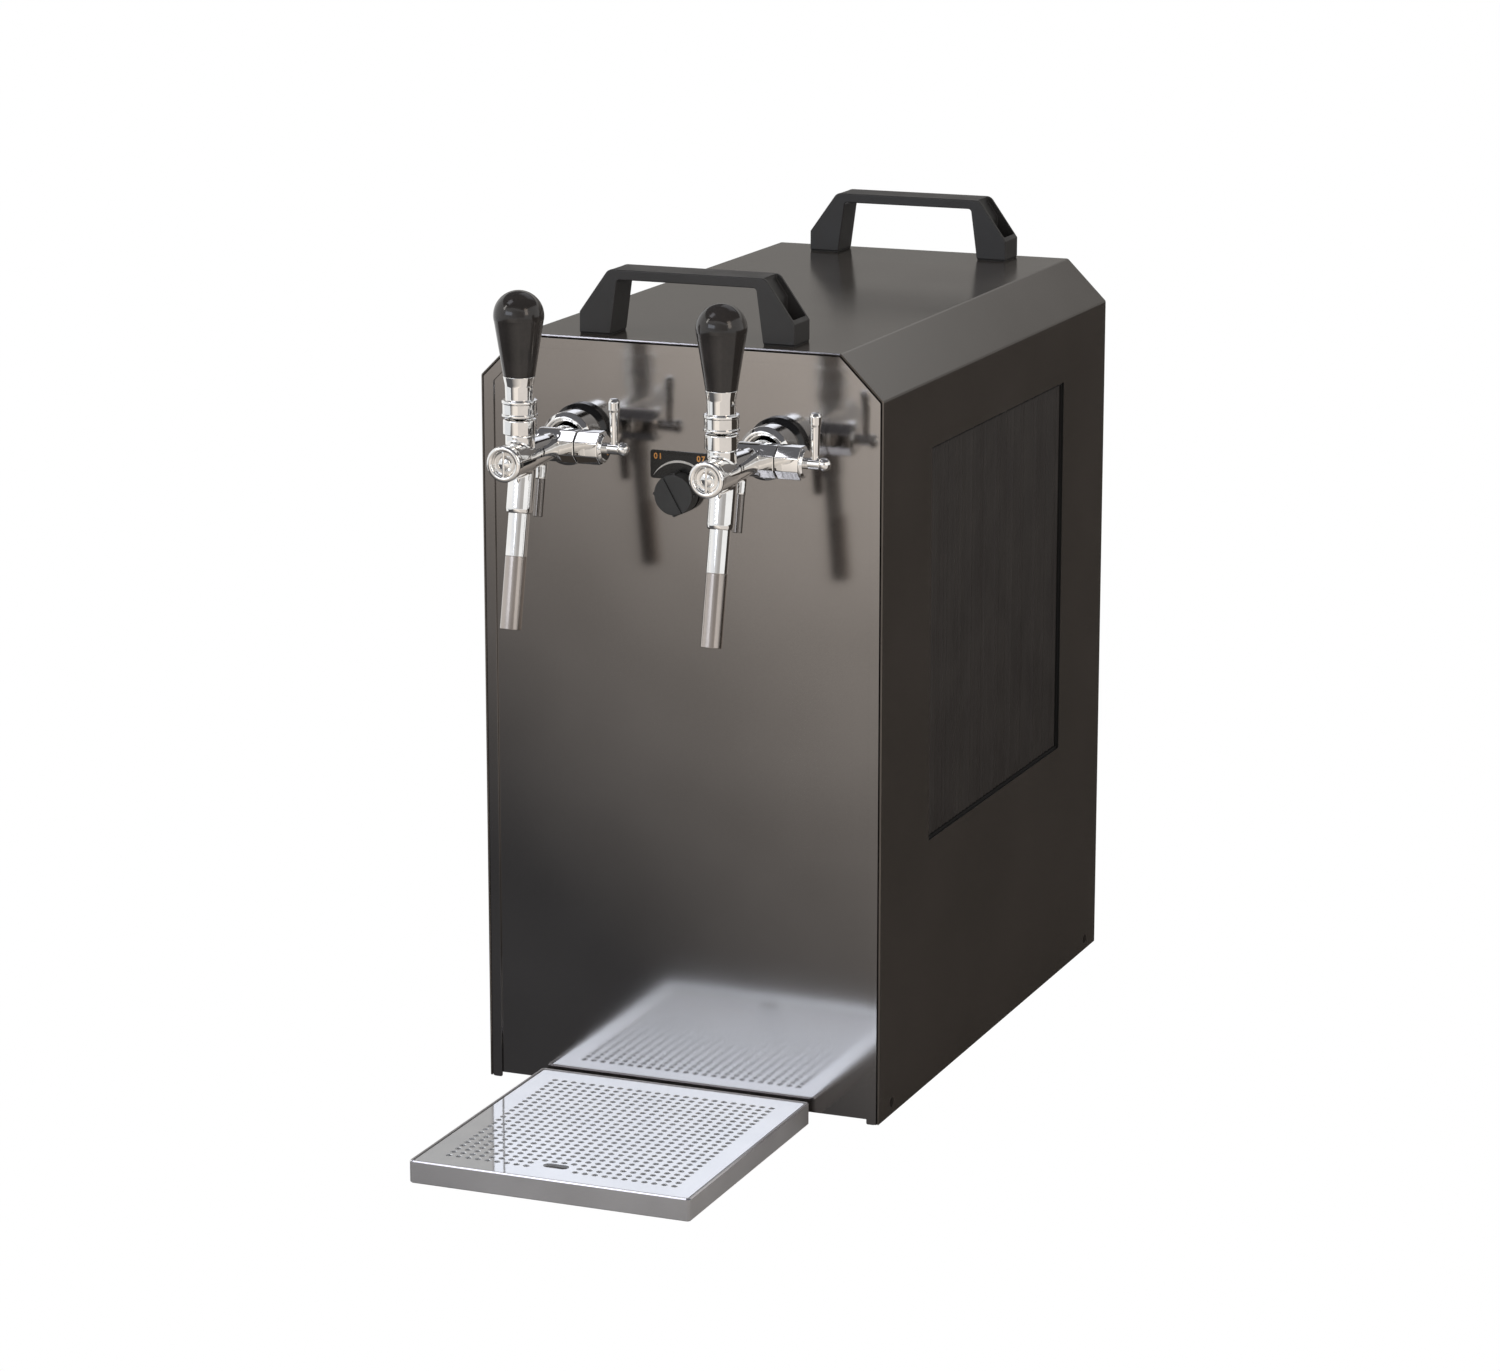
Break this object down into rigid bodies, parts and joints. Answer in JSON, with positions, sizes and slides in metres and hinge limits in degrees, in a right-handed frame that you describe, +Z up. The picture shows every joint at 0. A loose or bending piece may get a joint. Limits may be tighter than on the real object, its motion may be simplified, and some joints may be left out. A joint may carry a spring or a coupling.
{
  "type": "draft beer cooler",
  "caption": "Countertop dry draft beer cooler: sheet steel casing with sloped shoulders, carrying handles, ball-lever taps with flow compensators, thermostat and a loose perforated drip tray.",
  "frame": {"origin": "centre of the part's box on the floor plane", "axes": "+X to the right seen from the front, +Y from the front to the rear, +Z up"},
  "size_m": [0.29, 0.692, 0.575],
  "materials": {
    "powder_side": "satin",
    "satin_steel": "satin",
    "mirror_steel": "polished",
    "zinc_sheet": "satin",
    "chrome": "polished",
    "steel": "satin",
    "spout_steel": "brushed",
    "grille_steel": "satin",
    "gloss_black": "gloss",
    "matte_black": "matte",
    "handle_plastic": "matte",
    "dial_plastic": "satin",
    "white_plastic": "matte",
    "grey_plastic": "matte",
    "rubber": "matte",
    "foam": "matte",
    "aluminium": "satin",
    "copper": "satin",
    "compressor_paint": "gloss"
  },
  "bodies": {
    "cooler": {"casing": "powder_side", "front_frame": "satin_steel", "front_panel": "mirror_steel", "rear_panel": "powder_side", "base_plate": "zinc_sheet", "feet": "rubber", "casing_screws": "steel", "front_handle": "handle_plastic", "rear_handle": "handle_plastic", "handle_gaskets": "rubber", "handle_screws": "steel", "left_grille": "matte_black", "right_grille": "matte_black", "left_rosette": "gloss_black", "right_rosette": "gloss_black", "left_shank": "steel", "right_shank": "steel", "shank_nuts": "steel", "left_coupling_nut": "chrome", "right_coupling_nut": "chrome", "left_tap_body": "chrome", "right_tap_body": "chrome", "bonnet_nuts": "chrome", "left_tap_cap": "chrome", "right_tap_cap": "chrome", "left_spout": "chrome", "right_spout": "chrome", "spout_tips": "spout_steel", "vent_tubes": "chrome", "left_gland_nut": "chrome", "right_gland_nut": "chrome", "thermostat": "white_plastic", "dial_plate": "gloss_black", "compressor": "compressor_paint", "compressor_mounts": "rubber", "condenser": "aluminium", "fan_shroud": "zinc_sheet", "fan_motor": "matte_black", "filter_drier": "copper", "refrigerant_lines": "copper", "cooling_block": "aluminium", "block_insulation": "foam", "beverage_lines": "steel", "inlet_fittings": "white_plastic", "power_inlet": "matte_black"},
    "left_lever": {"left_tap_lever": "chrome", "left_tap_knob": "gloss_black"},
    "right_lever": {"right_tap_lever": "chrome", "right_tap_knob": "gloss_black"},
    "left_spool": {"left_tap_spool": "white_plastic"},
    "right_spool": {"right_tap_spool": "white_plastic"},
    "left_compensator_pin": {"left_compensator": "chrome"},
    "right_compensator_pin": {"right_compensator": "chrome"},
    "thermostat_dial": {"thermostat_knob": "dial_plastic", "thermostat_shaft": "steel"},
    "fan": {"fan_blades": "aluminium"},
    "left_collet": {"left_inlet_collet": "grey_plastic"},
    "right_collet": {"right_inlet_collet": "grey_plastic"},
    "tray": {"drip_tray": "satin_steel"},
    "grille": {"drip_grille": "grille_steel"}
  },
  "joints": [
    {"name": "left_lever_swing", "type": "hinge", "parent": "cooler", "child": "left_lever", "pos_m": [-0.071, -0.23105, 0.484], "axis": [1, 0, 0], "range_deg": [-12, 25]},
    {"name": "left_spool_slide", "type": "slide", "parent": "cooler", "child": "left_spool", "axis": [0, 1, 0], "range_m": [-0.00294, 0.00612]},
    {"name": "left_compensator_turn", "type": "hinge", "parent": "cooler", "child": "left_compensator_pin", "pos_m": [-0.027, -0.17905, 0.465], "axis": [1, 0, 0], "range_deg": [-90, 90]},
    {"name": "right_lever_swing", "type": "hinge", "parent": "cooler", "child": "right_lever", "pos_m": [0.071, -0.23105, 0.484], "axis": [1, 0, 0], "range_deg": [-12, 25]},
    {"name": "right_spool_slide", "type": "slide", "parent": "cooler", "child": "right_spool", "axis": [0, 1, 0], "range_m": [-0.00294, 0.00612]},
    {"name": "right_compensator_turn", "type": "hinge", "parent": "cooler", "child": "right_compensator_pin", "pos_m": [0.115, -0.17905, 0.465], "axis": [1, 0, 0], "range_deg": [-90, 90]},
    {"name": "thermostat_turn", "type": "hinge", "parent": "cooler", "child": "thermostat_dial", "pos_m": [0, -0.13905, 0.4295], "axis": [0, 1, 0], "range_deg": [-150, 150]},
    {"name": "fan_spin", "type": "hinge", "parent": "cooler", "child": "fan", "pos_m": [0.0837, 0.09995, 0.317], "axis": [1, 0, 0], "continuous": true},
    {"name": "left_collet_press", "type": "slide", "parent": "cooler", "child": "left_collet", "axis": [0, -1, 0], "range_m": [0, 0.0015]},
    {"name": "right_collet_press", "type": "slide", "parent": "cooler", "child": "right_collet", "axis": [0, -1, 0], "range_m": [0, 0.0015]},
    {"name": "tray_slide", "type": "slide", "parent": "cooler", "child": "tray", "axis": [0, -1, 0], "range_m": [0, 0.15]},
    {"name": "grille_lift", "type": "slide", "parent": "tray", "child": "grille", "axis": [0, 0, 1], "range_m": [0, 0.05]}
  ],
  "couplings": [
    {"joint": "left_spool_slide", "follows": "left_lever_swing", "m_per_rad": 0.014},
    {"joint": "right_spool_slide", "follows": "right_lever_swing", "m_per_rad": 0.014}
  ]
}
